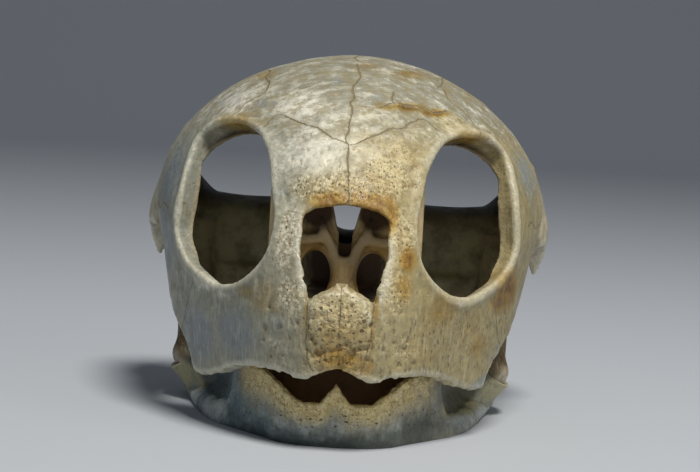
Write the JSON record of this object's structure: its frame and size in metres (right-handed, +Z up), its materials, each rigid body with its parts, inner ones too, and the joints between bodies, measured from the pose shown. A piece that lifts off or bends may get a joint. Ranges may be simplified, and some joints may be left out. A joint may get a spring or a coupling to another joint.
{
  "type": "turtle skull specimen",
  "caption": "Dried sea turtle skull with large round orbits, short beak and pitted bone, its cranium resting on its lower jaw.",
  "frame": {"origin": "middle of the bounding box at the level that the jaw stands on", "axes": "+Z up, beak facing -Y, crest at the back towards +Y, +X to the viewer's right when facing the beak"},
  "size_m": [0.097, 0.1368, 0.0824],
  "materials": {
    "cranium_bone": "dry pitted bone, cream with ochre stains",
    "jaw_bone": "dry bone, greyer below, ochre at the beak edge"
  },
  "bodies": {
    "root": {"cranium": "cranium_bone", "mandible": "jaw_bone"}
  },
  "joints": []
}
